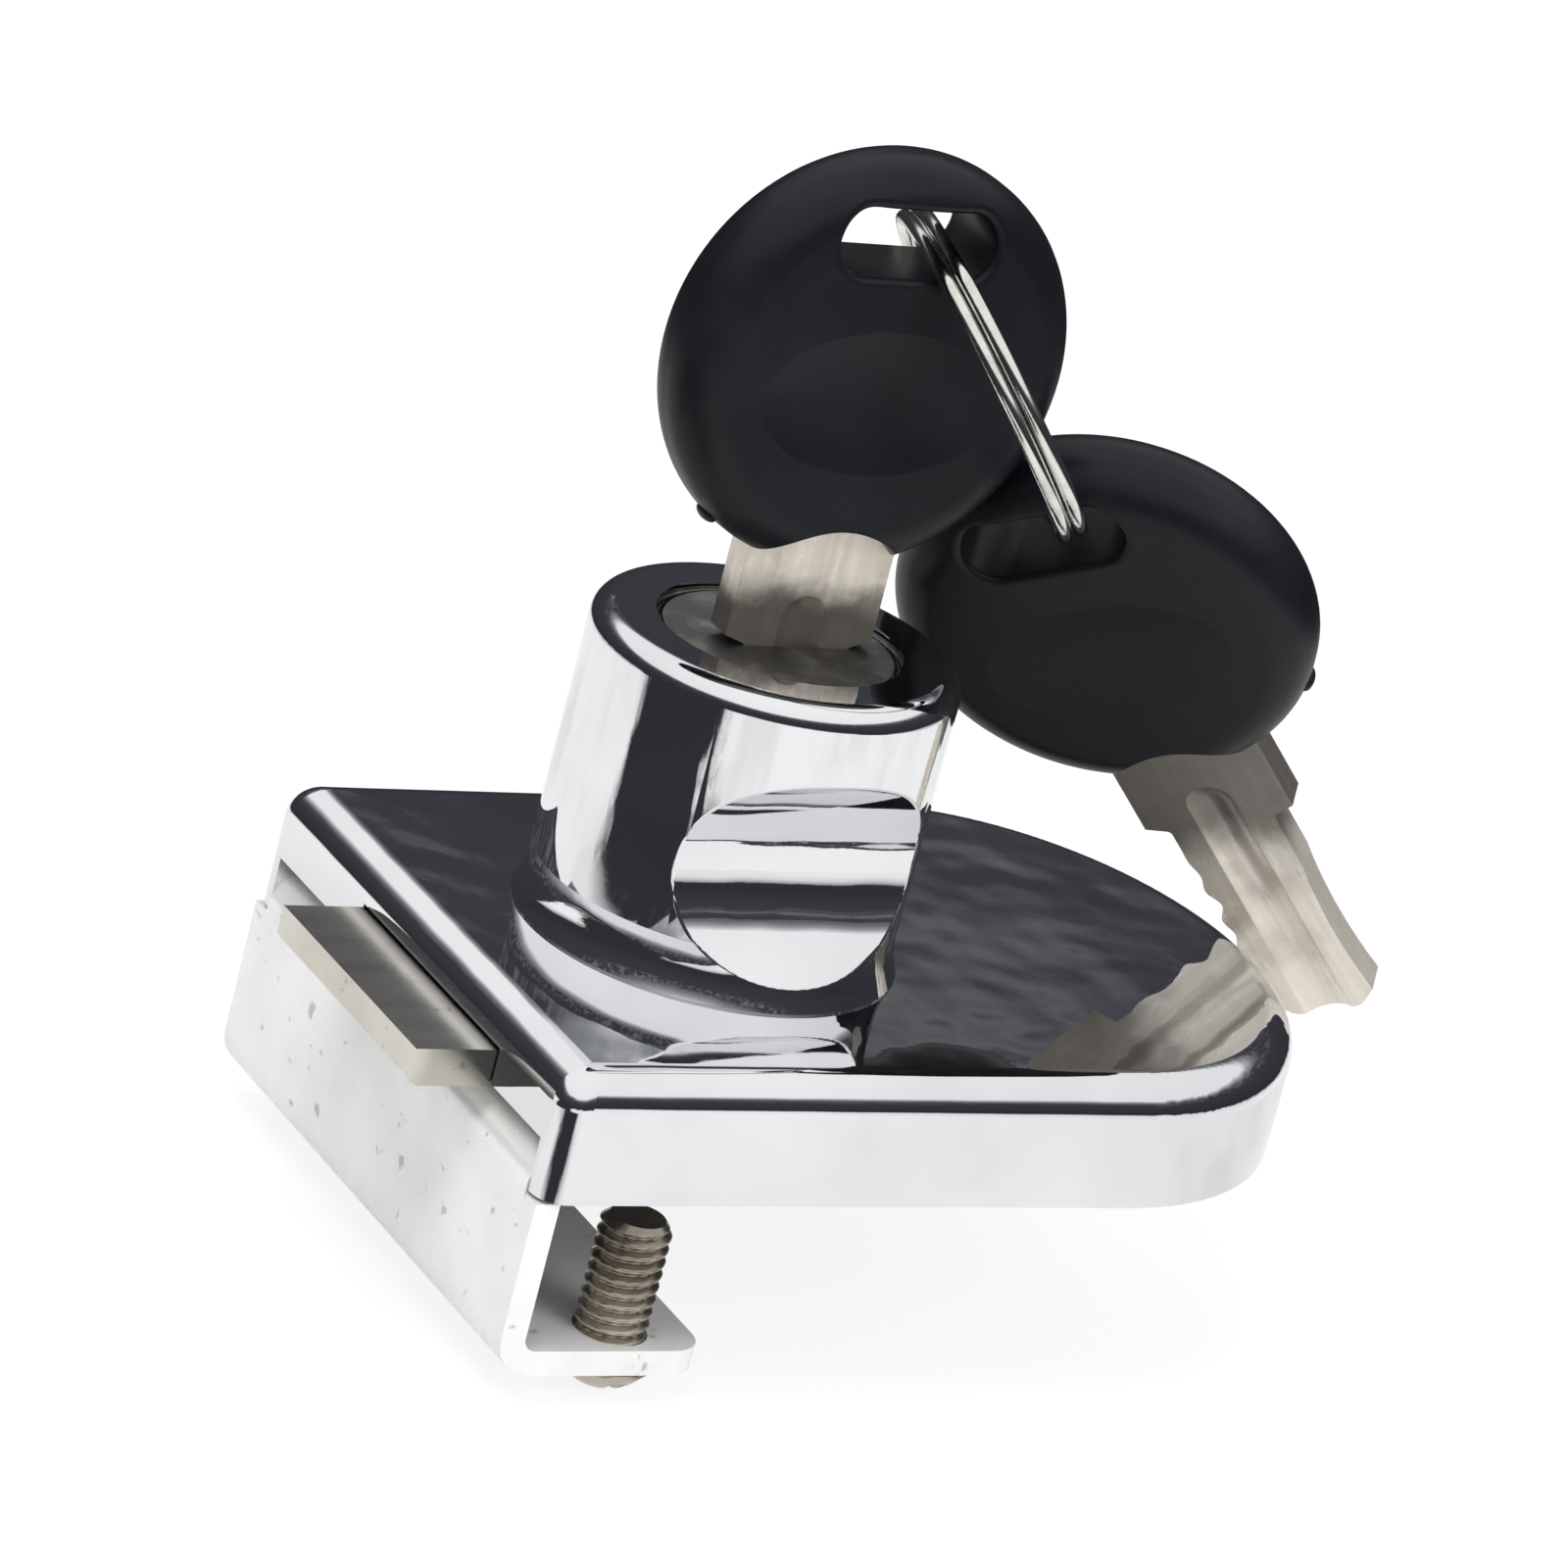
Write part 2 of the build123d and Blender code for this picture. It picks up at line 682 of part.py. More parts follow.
def split_ring():
    """Wire wound twice round, with the ends laid side by side."""
    pitch = ring_wire + ring_coil_gap
    length = pitch * ring_turns
    wire = Helix(pitch, length, ring_radius)
    section = Plane(wire @ 0, z_dir=wire % 0) * Circle(ring_wire / 2)
    coil = sweep(section, path=wire)
    return ring_frame() * Rot(0, 0, ring_ends_turn) * Pos(0, 0, -length / 2) * coil


def spare_place():
    """Where the spare key hangs: the ring passes through the hole of its head."""
    on_ring = ring_frame() * Rot(0, 0, ring_arc_between_keys) * Pos(ring_radius, 0, 0)
    turn = Rot(spare_roll, spare_pitch, spare_yaw)
    local = Pos(-spare_pass_across, 0, -head_centre - ring_hole_rise - spare_pass_rise)
    return Location(on_ring.position) * turn * local


def main():
    """Write one file for each piece."""
    os.makedirs("parts", exist_ok=True)
    blade = key_blade()
    head = key_head()
    shapes = {
        "lock_body": lock_body(),
        "clamp_bracket": clamp_bracket(),
        "bracket_screws": Compound(children=bracket_screws()),
        "glass_pad": glass_pad(),
        "clamp_screw_near": clamp_screw(-1),
        "clamp_screw_far": clamp_screw(1),
        "plug": plug(),
        "wafer_springs": Compound(children=wafer_springs()),
        "cam_disc": cam_disc(),
        "drive_pin": drive_pin(),
        "cam_screw": cam_screw(),
        "bolt": bolt(),
        "key_blade": key_place() * blade,
        "key_head": key_place() * head,
        "split_ring": split_ring(),
        "spare_key_blade": spare_place() * blade,
        "spare_key_head": spare_place() * head,
    }
    for number, z in enumerate(wafer_heights(), 1):
        shapes[f"wafer_{number}"] = wafer(z)
    for name, shape in shapes.items():
        export_step(shape, f"parts/{name}.step")
    print("pieces", len(shapes))
    ring = ring_frame().position
    print("ring centre", ring, "spare seat", spare_place().position)


main()
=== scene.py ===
from math import cos, pi, radians, sin, sqrt

import bmesh
import bpy
from mathutils import Euler, Matrix, Vector


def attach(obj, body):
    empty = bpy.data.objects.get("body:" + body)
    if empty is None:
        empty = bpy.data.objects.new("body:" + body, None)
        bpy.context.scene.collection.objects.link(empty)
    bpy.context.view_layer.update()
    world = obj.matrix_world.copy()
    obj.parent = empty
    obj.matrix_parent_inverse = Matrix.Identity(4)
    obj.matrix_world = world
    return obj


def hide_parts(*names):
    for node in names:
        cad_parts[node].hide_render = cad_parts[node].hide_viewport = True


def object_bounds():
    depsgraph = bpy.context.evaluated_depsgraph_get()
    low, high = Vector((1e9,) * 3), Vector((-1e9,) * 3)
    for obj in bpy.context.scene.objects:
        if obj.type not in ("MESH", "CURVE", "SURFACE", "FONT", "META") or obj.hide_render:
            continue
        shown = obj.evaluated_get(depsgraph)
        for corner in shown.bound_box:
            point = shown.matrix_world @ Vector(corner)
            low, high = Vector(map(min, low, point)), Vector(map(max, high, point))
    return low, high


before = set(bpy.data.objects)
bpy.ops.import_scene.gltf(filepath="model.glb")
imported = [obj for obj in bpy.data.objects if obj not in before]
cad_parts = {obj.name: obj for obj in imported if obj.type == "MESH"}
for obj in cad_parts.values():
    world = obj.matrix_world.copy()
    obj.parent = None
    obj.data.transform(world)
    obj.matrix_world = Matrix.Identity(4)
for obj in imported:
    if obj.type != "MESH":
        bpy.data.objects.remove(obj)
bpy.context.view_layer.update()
mm = 0.001
scene = bpy.context.scene
print("frame loaded,", len(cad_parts), "nodes")


# a shader socket that takes part in plain sums
class Wire:
    def __init__(self, finish, socket):
        self.finish = finish
        self.socket = socket

    def __add__(self, other):
        return self.finish.sum("ADD", self, other)

    def __radd__(self, other):
        return self.finish.sum("ADD", other, self)

    def __sub__(self, other):
        return self.finish.sum("SUBTRACT", self, other)

    def __rsub__(self, other):
        return self.finish.sum("SUBTRACT", other, self)

    def __mul__(self, other):
        return self.finish.sum("MULTIPLY", self, other)

    def __rmul__(self, other):
        return self.finish.sum("MULTIPLY", other, self)

    def __truediv__(self, other):
        return self.finish.sum("DIVIDE", self, other)

    def __rtruediv__(self, other):
        return self.finish.sum("DIVIDE", other, self)

    def __abs__(self):
        return self.finish.sum("ABSOLUTE", self)

    def larger(self, other):
        return self.finish.sum("MAXIMUM", self, other)

    def step(self, low, high):
        # 0 below low, 1 above high, soft between
        inputs = {"Value": self, "From Min": low, "From Max": high}
        return self.finish.node("ShaderNodeMapRange", {"interpolation_type": "SMOOTHSTEP"}, inputs)

    def beside(self, output):
        # another output of the same node
        return Wire(self.finish, self.socket.node.outputs[output])


# one material, or the world, with its nodes
class Finish:
    def __init__(self, name, kind="materials"):
        self.owner = getattr(bpy.data, kind).new(name)
        self.owner.use_nodes = True
        self.tree = self.owner.node_tree
        self.tree.nodes.clear()

    def node(self, kind, settings=None, inputs=None, output=0):
        made = self.tree.nodes.new(kind)
        for key, value in (settings or {}).items():
            if key == "stops":
                ramp = made.color_ramp
                while len(ramp.elements) < len(value):
                    ramp.elements.new(0.5)
                for element, (place, colour) in zip(ramp.elements, value):
                    element.position = place
                    element.color = (*colour, 1.0)
            else:
                setattr(made, key, value)
        for key, value in (inputs or {}).items():
            if isinstance(value, Wire):
                self.tree.links.new(value.socket, made.inputs[key])
            else:
                made.inputs[key].default_value = value
        return Wire(self, made.outputs[output] if made.outputs else None)

    def sum(self, operation, *values):
        return self.node("ShaderNodeMath", {"operation": operation}, dict(enumerate(values)))

    def measure(self, operation, *vectors):
        return self.node("ShaderNodeVectorMath", {"operation": operation}, dict(enumerate(vectors)), "Value")

    def place(self):
        return self.node("ShaderNodeTexCoord", output="Object")

    def stretched(self, across, along, scales):
        # coordinates in a piece's own axes, each with its own scale, so that a grain runs one way
        third = Vector(across).cross(Vector(along))
        parts = []
        for axis, scale in zip((across, third, along), scales):
            parts.append(self.measure("DOT_PRODUCT", self.place(), tuple(Vector(axis) * scale)))
        return self.node("ShaderNodeCombineXYZ", {}, dict(enumerate(parts)))

    def noise(self, scale, detail, vector=None, rough=0.55):
        inputs = {"Vector": vector or self.place(), "Scale": scale, "Detail": detail, "Roughness": rough}
        return self.node("ShaderNodeTexNoise", {}, inputs)

    def blend(self, factor, low, high):
        def colour(value):
            return value if isinstance(value, Wire) else (*value, 1.0)
        inputs = {0: factor, 6: colour(low), 7: colour(high)}
        return self.node("ShaderNodeMix", {"data_type": "RGBA"}, inputs, 2)

    def bump(self, height, distance, normal=None, strength=1.0):
        inputs = {"Height": height, "Distance": distance, "Strength": strength}
        if normal:
            inputs["Normal"] = normal
        return self.node("ShaderNodeBump", {}, inputs)

    def shade(self, sockets):
        surface = self.node("ShaderNodeBsdfPrincipled", {}, sockets)
        self.node("ShaderNodeOutputMaterial", {}, {"Surface": surface})
        return self.owner


# finishes; a pair such as "clouded" is where its noise begins and ends to show

chromePlate = {
    "colour": (0.85, 0.855, 0.865), "cloud": (0.76, 0.765, 0.78), "cloudScale": 60, "clouded": (0.35, 0.7),
    "roughness": 0.03, "haze": 0.07, "hazeScale": 420, "hazed": (0.52, 0.8),
    "waveScale": 190, "wave": 0.05 * mm, "peelScale": 1500, "peel": 0.001 * mm,
}


def chromeFinish():
    look = chromePlate
    f = Finish("chromePlate")
    cloud = f.noise(look["cloudScale"], 3).step(*look["clouded"])
    tone = f.blend(cloud, look["colour"], look["cloud"])
    haze = f.noise(look["hazeScale"], 4, rough=0.7).step(*look["hazed"])
    rough = look["roughness"] + haze * look["haze"]
    wave = f.bump(f.noise(look["waveScale"], 1), look["wave"])
    normal = f.bump(f.noise(look["peelScale"], 2), look["peel"], wave)
    return f.shade({"Base Color": tone, "Metallic": 1.0, "Roughness": rough, "Normal": normal})


satinSteel = {
    "colour": (0.71, 0.71, 0.705), "dark": (0.61, 0.61, 0.605), "metal": 0.3,
    "roughness": 0.20, "spread": 0.10, "grain": (60, 2600, 2600), "grainDepth": 0.0012 * mm,
}
boltMetal = {
    "colour": (0.76, 0.73, 0.66), "dark": (0.62, 0.59, 0.52), "metal": 1.0,
    "roughness": 0.15, "spread": 0.10, "grain": (60, 600, 600), "grainDepth": 0.0003 * mm,
}
screwMetal = {
    "colour": (0.62, 0.57, 0.48), "dark": (0.26, 0.22, 0.17), "metal": 1.0,
    "roughness": 0.2, "spread": 0.12, "grain": (900, 900, 900), "grainDepth": 0.003 * mm,
}
waferMetal = {
    "colour": (0.72, 0.55, 0.26), "dark": (0.48, 0.34, 0.15), "metal": 1.0,
    "roughness": 0.3, "spread": 0.15, "grain": (60, 2600, 2600), "grainDepth": 0.004 * mm,
}
camMetal = {
    "colour": (0.55, 0.55, 0.57), "dark": (0.38, 0.38, 0.40), "metal": 1.0,
    "roughness": 0.42, "spread": 0.15, "grain": (700, 700, 700), "grainDepth": 0.01 * mm,
}
# the clouds and pits that these five share
satinMarks = {
    "cloudScale": 110, "clouded": (0.3, 0.75), "pitScale": 900, "pitted": (0.66, 0.74),
    "pit": (0.25, 0.24, 0.23), "pitShare": 0.6, "pitRough": 0.1,
}


def satinFinish(name, look, across, along):
    marks = satinMarks
    f = Finish(name)
    streak = f.noise(1.0, 4, f.stretched(across, along, look["grain"]))
    pits = f.noise(marks["pitScale"], 2).step(*marks["pitted"])
    cloud = f.noise(marks["cloudScale"], 4).step(*marks["clouded"])
    tone = f.blend(cloud, look["colour"], look["dark"])
    tone = f.blend(pits * marks["pitShare"], tone, marks["pit"])
    rough = look["roughness"] + streak * look["spread"] + pits * marks["pitRough"]
    normal = f.bump(streak, look["grainDepth"])
    return f.shade({"Base Color": tone, "Metallic": look["metal"], "Roughness": rough, "Normal": normal})


keyMetal = {
    "colour": (0.80, 0.745, 0.655), "metal": 0.7, "roughness": 0.22, "spread": 0.14,
    "stain": (0.42, 0.37, 0.30), "stainScale": 170, "stained": (0.46, 0.66),
    "stainShare": 0.4, "stainRough": 0.12,
    "grain": (2400, 2400, 110), "grained": (0.35, 0.7), "grainShare": 0.25, "grainDepth": 0.003 * mm,
    "scratch": (1500, 1500, 90), "scratched": (0.66, 0.7), "scratchDepth": 0.015 * mm, "scratchStrength": 0.5,
    # the dark band's colour: painted shade on the key where it stands in the plug, a darker collar by the
    # spare's head
    "dull": (0.07, 0.063, 0.055), "darkBandShare": 0.8, "ragged": 4.0, "raggedScale": 330,
}


def keyMetalFinish(name, across, along, seat, darkReach):
    # the last argument: from where to where above the seat the blade is darkened, and how softly that ends,
    # in mm; on the key in the plug this is painted shade
    look = keyMetal
    f = Finish(name)
    reach = f.measure("DOT_PRODUCT", f.place(), along)
    reach = (reach - Vector(seat).dot(Vector(along)) * mm) * (1 / mm)
    reach = reach + (f.noise(look["raggedScale"], 4) - 0.5) * look["ragged"]
    low, high, soft = darkReach
    # a dark band along the blade: painted shade where the key enters the plug; on the spare, darker by its
    # head
    dull = reach.step(low - soft, low + soft) * (1 - reach.step(high - soft, high + soft))
    streak = f.noise(1.0, 4, f.stretched(across, along, look["grain"]))
    scratch = f.noise(1.0, 2, f.stretched(across, along, look["scratch"])).step(*look["scratched"])
    stain = f.noise(look["stainScale"], 5, rough=0.65).step(*look["stained"])
    tone = f.blend(stain * look["stainShare"], look["colour"], look["stain"])
    tone = f.blend(streak.step(*look["grained"]) * look["grainShare"], tone, look["stain"])
    tone = f.blend(dull * look["darkBandShare"], tone, look["dull"])
    rough = look["roughness"] + streak * look["spread"] + stain * look["stainRough"]
    normal = f.bump(streak, look["grainDepth"])
    normal = f.bump(1 - scratch, look["scratchDepth"], normal, look["scratchStrength"])
    return f.shade({"Base Color": tone, "Metallic": look["metal"], "Roughness": rough, "Normal": normal})


blackPlastic = {
    "colour": (0.0045, 0.005, 0.0068), "specular": 0.22, "roughness": 0.30, "spread": 0.16,
    "worn": (0.009, 0.010, 0.013), "wornScale": 140, "wornReach": (0.4, 0.8), "wornShare": 0.6,
    "dust": (0.08, 0.08, 0.08), "dustScale": 3800, "dusted": (0.72, 0.8), "dustShare": 0.18,
    "grainScale": 2400, "grainDepth": 0.004 * mm,
}


def plasticFinish():
    look = blackPlastic
    f = Finish("blackPlastic")
    cloud = f.noise(look["wornScale"], 4)
    dust = f.noise(look["dustScale"], 2).step(*look["dusted"])
    tone = f.blend(cloud.step(*look["wornReach"]) * look["wornShare"], look["colour"], look["worn"])
    tone = f.blend(dust * look["dustShare"], tone, look["dust"])
    rough = look["roughness"] + cloud * look["spread"]
    normal = f.bump(f.noise(look["grainScale"], 3), look["grainDepth"])
    return f.shade({"Base Color": tone, "Roughness": rough, "Normal": normal,
                    "Specular IOR Level": look["specular"]})


plugMetal = {
    "colour": (0.20, 0.197, 0.19), "edge": (0.40, 0.395, 0.385), "cloudScale": 500, "clouded": (0.4, 0.75),
    "roughness": 0.36, "spread": 0.15, "turnPitch": 0.16 * mm, "turnDepth": 0.006 * mm,
}


def plugFinish():
    look = plugMetal
    f = Finish("plugMetal")
    x = f.node("ShaderNodeSeparateXYZ", {}, {0: f.place()})
    radius = f.measure("LENGTH", f.node("ShaderNodeCombineXYZ", {}, {0: x, 1: x.beside(1)}))
    rings = f.sum("SINE", radius * (2 * pi / look["turnPitch"]))
    cloud = f.noise(look["cloudScale"], 4)
    tone = f.blend(cloud.step(*look["clouded"]), look["colour"], look["edge"])
    rough = look["roughness"] + cloud * look["spread"]
    normal = f.bump(rings, look["turnDepth"])
    return f.shade({"Base Color": tone, "Metallic": 1.0, "Roughness": rough, "Normal": normal})


ringMetal = {
    "colour": (0.80, 0.79, 0.75), "dark": (0.62, 0.60, 0.55), "cloudScale": 700, "clouded": (0.42, 0.75),
    "roughness": 0.07, "spread": 0.1, "metal": 1.0, "grainScale": 2500, "grainDetail": 2,
    "grainDepth": 0.0015 * mm,
}
rubber = {
    "colour": (0.03, 0.03, 0.03), "dark": (0.07, 0.07, 0.068), "cloudScale": 300, "clouded": (0.4, 0.7),
    "roughness": 0.75, "spread": 0.15, "metal": 0.0, "grainScale": 1800, "grainDetail": 3,
    "grainDepth": 0.03 * mm,
}


def cloudyFinish(name, look):
    f = Finish(name)
    cloud = f.noise(look["cloudScale"], 4)
    tone = f.blend(cloud.step(*look["clouded"]), look["colour"], look["dark"])
    rough = look["roughness"] + cloud * look["spread"]
    normal = f.bump(f.noise(look["grainScale"], look["grainDetail"]), look["grainDepth"])
    return f.shade({"Base Color": tone, "Metallic": look["metal"], "Roughness": rough, "Normal": normal})


# how the spare key hangs, as in the model: turns about X, Y and Z in degrees, seat in mm
spareHang = {"turn": (-1.21, -43.11, -44.04), "seat": (32.0609, -0.2564, 15.6147)}
keySeat = (0.64, 0, 25.1)


def turned(angles):
    x, y, z = (radians(a) for a in angles)
    return Matrix.Rotation(x, 4, "X") @ Matrix.Rotation(y, 4, "Y") @ Matrix.Rotation(z, 4, "Z")


keyFrame = Matrix.Translation(Vector(keySeat) * mm)
spareFrame = Matrix.Translation(Vector(spareHang["seat"]) * mm) @ turned(spareHang["turn"])
alongX, alongY, alongZ = (1, 0, 0), (0, 1, 0), (0, 0, 1)
spareAcross = tuple(spareFrame.to_3x3() @ Vector(alongX))
spareAlong = tuple(spareFrame.to_3x3() @ Vector(alongZ))
# painted shade darkens one key where it stands in the plug; the other is darker by its head
keyPaintedShade, spareDarkBand = (-30.0, 3.2, 0.9), (-2.0, 9.0, 2.2)

casting = chromeFinish()
bracketSteel = satinFinish("satinSteel", satinSteel, alongX, alongY)
boltSteel = satinFinish("boltMetal", boltMetal, alongX, alongY)
screwSteel = satinFinish("screwMetal", screwMetal, alongX, alongZ)
brass = satinFinish("waferBrass", waferMetal, alongX, alongY)
dieZinc = satinFinish("camZinc", camMetal, alongX, alongY)
plastic = plasticFinish()
ringSteel = cloudyFinish("ringSteel", ringMetal)
springSteel = cloudyFinish("springSteel", ringMetal)
padRubber = cloudyFinish("padRubber", rubber)
plugSteel = plugFinish()
bladeMetal = keyMetalFinish("keyMetal", alongX, alongZ, keySeat, keyPaintedShade)
spareBladeMetal = keyMetalFinish("spareKeyMetal", spareAcross, spareAlong, spareHang["seat"], spareDarkBand)

nodeFinish = {
    "lock_body": casting, "clamp_bracket": bracketSteel, "bracket_screws": screwSteel, "glass_pad": padRubber,
    "clamp_screw_near": screwSteel, "clamp_screw_far": screwSteel, "plug": plugSteel, "bolt": boltSteel,
    "wafer_springs": springSteel, "cam_disc": dieZinc, "drive_pin": springSteel, "cam_screw": screwSteel,
    "key_blade": bladeMetal, "key_head": plastic, "split_ring": ringSteel,
    "spare_key_blade": spareBladeMetal, "spare_key_head": plastic,
}
for number in range(1, 6):
    nodeFinish[f"wafer_{number}"] = brass
for name, finish in nodeFinish.items():
    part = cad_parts[name]
    if not part.material_slots:
        part.data.materials.append(finish)
    for place in part.material_slots:
        place.material = finish
print("finishes on", len(nodeFinish), "nodes")


# pieces

def pieceFrom(name, build, finish):
    mesh = bpy.data.meshes.new(name)
    build.to_mesh(mesh)
    build.free()
    piece = bpy.data.objects.new(name, mesh)
    scene.collection.objects.link(piece)
    mesh.materials.append(finish)
    for face in mesh.polygons:
        face.use_smooth = True
    return piece


def rows(build, rings):
    # skin over rings of points that all have the same count
    made = [[build.verts.new(point) for point in ring] for ring in rings]
    for low, high in zip(made, made[1:]):
        for k in range(len(low)):
            n = (k + 1) % len(low)
            build.faces.new((low[k], low[n], high[n], high[k]))
    build.faces.new(list(reversed(made[0])))
    build.faces.new(made[-1])


def settle(piece):
    # bake the modifiers into the mesh
    view = bpy.context.evaluated_depsgraph_get()
    view.update()
    mesh = bpy.data.meshes.new_from_object(piece.evaluated_get(view))
    piece.modifiers.clear()
    piece.data = mesh


def sharpen(piece, angle):
    piece.data.polygons.foreach_set("use_smooth", [True] * len(piece.data.polygons))
    piece.data.set_sharp_from_angle(angle=radians(angle))


# lengths in mm; the near screw stands at -y and the far one at +y
clampScrew = {
    "radius": 2.05, "pitch": 0.75, "threadDepth": 0.4, "rootShare": 0.12, "flankShare": 0.72,
    "seat": -10.65, "length": 8.4, "tipBevel": 0.5, "x": -9.4, "y": 15.8,
    "headRadius": 2.8, "headHeight": 1.8, "rimEdge": 0.2, "crown": 0.02, "slotWidth": 0.9, "slotDepth": 1.1,
    "sides": 72, "stepsPerTurn": 14, "domeSteps": 16, "sharpAngle": 40,
}


def threadRadius(angle, z):
    s = clampScrew
    phase = (z / s["pitch"] - angle / (2 * pi)) % 1.0
    ridge = abs(2 * phase - 1)  # 1 on the crest, 0 in the root
    ridge = min(1.0, max(0.0, (ridge - s["rootShare"]) / s["flankShare"]))
    radius = s["radius"] - s["threadDepth"] * (1 - ridge)
    tip = s["seat"] + s["length"]
    return min(radius, s["radius"] - s["tipBevel"] + (tip - z))


def screwShank(name, around):
    s = clampScrew
    count = int(s["length"] / s["pitch"] * s["stepsPerTurn"])
    heights = [s["seat"] + s["length"] * k / count for k in range(count + 1)]
    rings = []
    for z in heights:
        ring = [(threadRadius(a, z) * cos(a), threadRadius(a, z) * sin(a), z) for a in around]
        rings.append([Vector(point) * mm for point in ring])
    build = bmesh.new()
    rows(build, rings)
    return pieceFrom(name, build, screwSteel)


def screwHead(name, around):
    # pan head: domed below, with a soft rim and a driver slot
    s = clampScrew
    low = s["seat"] - s["headHeight"]
    dome = (s["headRadius"] ** 2 + s["headHeight"] ** 2) / (2 * s["headHeight"])
    profile = [(s["crown"], s["seat"]), (s["headRadius"] - s["rimEdge"], s["seat"]),
               (s["headRadius"], s["seat"] - s["rimEdge"])]
    for k in range(1, s["domeSteps"] + 1):
        r = (s["headRadius"] - 2 * s["crown"]) * (1 - k / s["domeSteps"]) + s["crown"]
        profile.append((r, low + dome - sqrt(dome * dome - r * r)))
    build = bmesh.new()
    rows(build, [[Vector((r * cos(a), r * sin(a), z)) * mm for a in around] for r, z in reversed(profile)])
    head = pieceFrom(name + "Head", build, screwSteel)
    build = bmesh.new()
    bmesh.ops.create_cube(build, size=1.0)
    wide, long, high = s["slotWidth"], 3 * s["headRadius"], 2 * s["slotDepth"]
    for vertex in build.verts:
        x, y, z = vertex.co
        vertex.co = Vector((x * wide, y * long, z * high + low)) * mm
    cutter = pieceFrom(name + "Slot", build, screwSteel)
    cut = head.modifiers.new("slot", "BOOLEAN")
    cut.object = cutter
    cut.operation = "DIFFERENCE"
    settle(head)
    bpy.data.objects.remove(cutter)
    return head


def clampScrewPiece(name, node, body, side):
    s = clampScrew
    around = [2 * pi * k / s["sides"] for k in range(s["sides"])]
    shank = screwShank(name, around)
    head = screwHead(name, around)
    for piece in (shank, head):
        piece.data.transform(Matrix.Translation(Vector((s["x"], side * s["y"], 0)) * mm))
        sharpen(piece, s["sharpAngle"])
        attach(piece, body)
    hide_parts(node)
    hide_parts(node)


clampScrewPiece("nearClampScrew", "clamp_screw_near", "near_clamp_screw", -1)
clampScrewPiece("farClampScrew", "clamp_screw_far", "far_clamp_screw", 1)
print("clamp screws built")

# small rough marks where each head left its mould; "middle" is the head's, above the key's seat
mouldNub = {
    "radius": 0.85, "height": 0.42, "flat": 0.7, "rim": 11.95, "middle": 16.9,
    "angle": 233.0, "spareAngle": -41.0, "around": 20, "along": 10,
}


def mouldNubPiece(name, body, place, angle):
    s = mouldNub
    build = bmesh.new()
    bmesh.ops.create_uvsphere(build, u_segments=s["around"], v_segments=s["along"], radius=s["radius"] * mm)
    for vertex in build.verts:
        vertex.co.x *= s["height"] / s["radius"]
        vertex.co.z *= s["flat"]
        vertex.co += Vector((s["rim"] * mm, 0, 0))
    piece = pieceFrom(name, build, plastic)
    spin = Matrix.Rotation(-radians(angle), 4, "Y")
    piece.data.transform(place @ Matrix.Translation((0, 0, s["middle"] * mm)) @ spin)
    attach(piece, body)


mouldNubPiece("keyHeadNub", "key", keyFrame, mouldNub["angle"])
mouldNubPiece("spareHeadNub", "spare_key", spareFrame, mouldNub["spareAngle"])
print("mould marks built")


# floor, light and camera

# lengths in metres, the card's angle in degrees
# pale, greyer and dark are painted reflections: only reflections see them on the floor
floorSheet = {
    "half": 1.6, "colour": (0.86, 0.86, 0.86), "whiteShare": 0.86,
    "pale": (0.90, 0.90, 0.90), "greyer": (0.70, 0.705, 0.715), "greyerScale": 22, "greyed": (0.4, 0.7),
    "dark": (0.032, 0.033, 0.038), "paleReach": (0.12, 0.19), "raggedScale": 55,
    "cardAngle": -167.0, "cardSpread": (0.47, 0.62), "cardFrom": (0.055, 0.068), "cardRagged": 0.5,
    "tray": (-0.050, -0.046, 0.0), "trayReach": (0.022, 0.034), "trayRagged": 0.03,
}


def paintedFloorReflections(f):
    # painted reflections: a ragged dark card shape on the bolt's side, a round dark tray shape in front of it
    # and a dark room past the pale sheet, painted on the floor for reflections only
    look = floorSheet
    spot = f.place()
    angle = radians(look["cardAngle"])
    along = f.measure("DOT_PRODUCT", spot, (cos(angle), sin(angle), 0))
    across = f.measure("DOT_PRODUCT", spot, (sin(angle), -cos(angle), 0))
    ragged = f.noise(look["raggedScale"], 4, rough=0.7) - 0.5
    slant = abs(across) / along.larger(0.001) + ragged * look["cardRagged"]
    card = (1 - slant.step(*look["cardSpread"])) * along.step(*look["cardFrom"])
    fromTray = f.measure("DISTANCE", spot, look["tray"]) + ragged * look["trayRagged"]
    tray = 1 - fromTray.step(*look["trayReach"])
    room = f.measure("LENGTH", spot).step(*look["paleReach"])
    return card.larger(tray).larger(room)


def floorFinish():
    look = floorSheet
    f = Finish("floorSheet")
    camera = f.node("ShaderNodeLightPath", output="Is Camera Ray")
    glossy, through = camera.beside("Is Glossy Ray"), camera.beside("Is Transmission Ray")
    seen = camera.larger(glossy).larger(through)
    # the camera sees a plain white sheet; only reflections see the dark places and the pale and greyer
    # clouds, all painted reflections
    shade = paintedFloorReflections(f) * (1 - camera)
    pale = f.blend(f.noise(look["greyerScale"], 3).step(*look["greyed"]), look["pale"], look["greyer"])
    tone = f.blend(shade, f.blend(camera, pale, (1, 1, 1)), look["dark"])
    plain = f.node("ShaderNodeBsdfDiffuse", {}, {"Color": (*look["colour"], 1.0)})
    white = f.node("ShaderNodeEmission", {}, {"Color": tone, "Strength": 1.0})
    share = (seen * look["whiteShare"]).larger(glossy * shade)
    both = f.node("ShaderNodeMixShader", {}, {0: share, 1: plain, 2: white})
    f.node("ShaderNodeOutputMaterial", {}, {"Surface": both})
    return f.owner


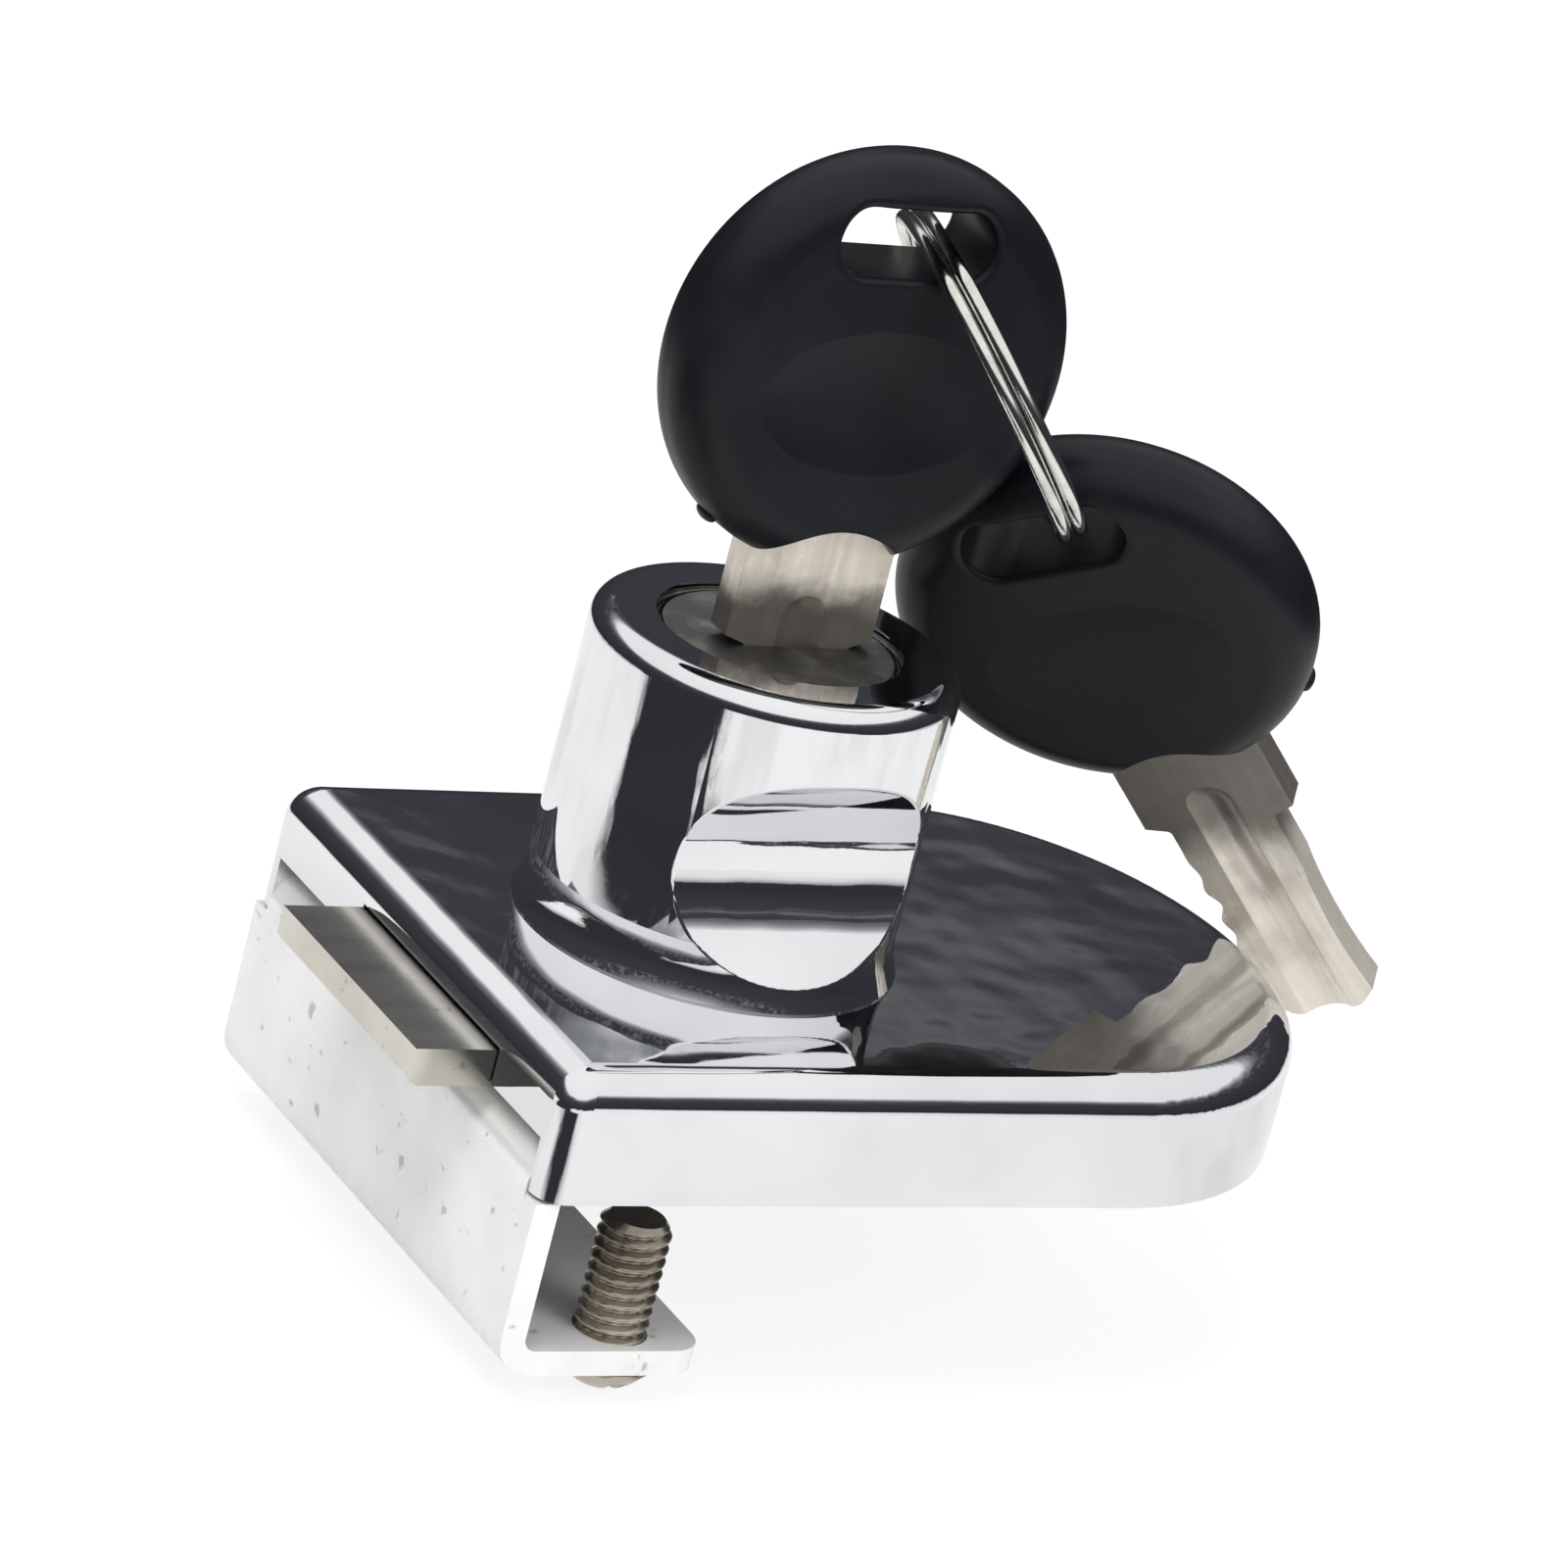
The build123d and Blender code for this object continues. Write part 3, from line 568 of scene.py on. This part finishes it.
def addFloor():
    h = floorSheet["half"]
    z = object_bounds()[0].z
    mesh = bpy.data.meshes.new("floorSheet")
    mesh.from_pydata([(-h, -h, z), (h, -h, z), (h, h, z), (-h, h, z)], [], [(0, 1, 2, 3)])
    mesh.materials.append(floorFinish())
    floor = bpy.data.objects.new("floorSheet", mesh)
    scene.collection.objects.link(floor)


addFloor()

# places and sizes in metres, power in watts
lamps = {
    "keyLight": {"place": (-0.28, -0.10, 0.80), "size": 0.42, "power": 6.0},
    "fillLight": {"place": (0.30, -0.62, 0.40), "size": 0.45, "power": 4.2},
    "backLight": {"place": (0.1, 0.75, 0.65), "size": 0.45, "power": 2.0},
}


def addLight(name, place, size, power):
    lamp = bpy.data.lights.new(name, "AREA")
    lamp.size = size
    lamp.energy = power
    light = bpy.data.objects.new(name, lamp)
    light.location = place
    light.rotation_euler = (-Vector(place)).to_track_quat("-Z", "Y").to_euler()
    light.visible_glossy = False  # the walls and the floor give the reflections
    scene.collection.objects.link(light)


for name, lamp in lamps.items():
    addLight(name, **lamp)

# the walls as polished metal sees them: bands by height, 0 straight down, 0.5 level, 1 straight up,
# and a belt of grey clouds, from "above" to "below" in plain height, -1 to 1
walls = {
    "bands": [(0.0, (0.042, 0.044, 0.05)), (0.52, (0.036, 0.038, 0.046)), (0.685, (0.048, 0.051, 0.06)),
              (0.72, (0.35, 0.36, 0.38)), (0.745, (0.94, 0.94, 0.95)), (1.0, (1.0, 1.0, 1.0))],
    "tilt": (-0.043, -0.067, 0.0),  # the dark wall stands higher behind the lock
    "cloud": (0.17, 0.173, 0.185), "cloudScale": 22.0, "clouded": (0.44, 0.7),
    "above": (0.27, 0.33), "below": (0.36, 0.44), "skyLevel": (0.75, 0.75, 0.75),
}


def studioWalls():
    f = Finish("studioWalls", "worlds")
    way = f.node("ShaderNodeTexCoord", output="Generated")
    height = f.node("ShaderNodeSeparateXYZ", {}, {0: way}, 2) + f.measure("DOT_PRODUCT", way, walls["tilt"])
    bands = f.node("ShaderNodeValToRGB", {"stops": walls["bands"]}, {0: height * 0.5 + 0.5})
    cloud = f.noise(walls["cloudScale"], 2, way, 0.6).step(*walls["clouded"])
    belt = height.step(*walls["above"]) * (1 - height.step(*walls["below"]))
    bands = f.blend(cloud * belt, bands, walls["cloud"])
    camera = f.node("ShaderNodeLightPath", output="Is Camera Ray")
    tone = f.blend(camera.beside("Is Glossy Ray"), walls["skyLevel"], bands)
    tone = f.blend(camera, tone, (1, 1, 1))
    sky = f.node("ShaderNodeBackground", {}, {"Color": tone, "Strength": 1.0})
    f.node("ShaderNodeOutputWorld", {}, {"Surface": sky})
    scene.world = f.owner


studioWalls()

# place, lens and sensor in mm, turns in degrees, clip in metres
shot = {
    "place": (-247.13, -386.36, 191.94), "turn": (68.468, -13.823, -27.507),
    "lens": 204.35, "sensor": 36.0, "clip": (0.01, 10),
}


def addCamera():
    view = bpy.data.cameras.new("shot")
    view.lens = shot["lens"]
    view.sensor_width = shot["sensor"]
    view.sensor_fit = "HORIZONTAL"
    view.clip_start, view.clip_end = shot["clip"]
    camera = bpy.data.objects.new("shot", view)
    camera.location = Vector(shot["place"]) * mm
    camera.rotation_euler = Euler([radians(a) for a in shot["turn"]], "XYZ")
    scene.collection.objects.link(camera)
    scene.camera = camera


addCamera()
scene.view_settings.view_transform = "Standard"
print("stage set")
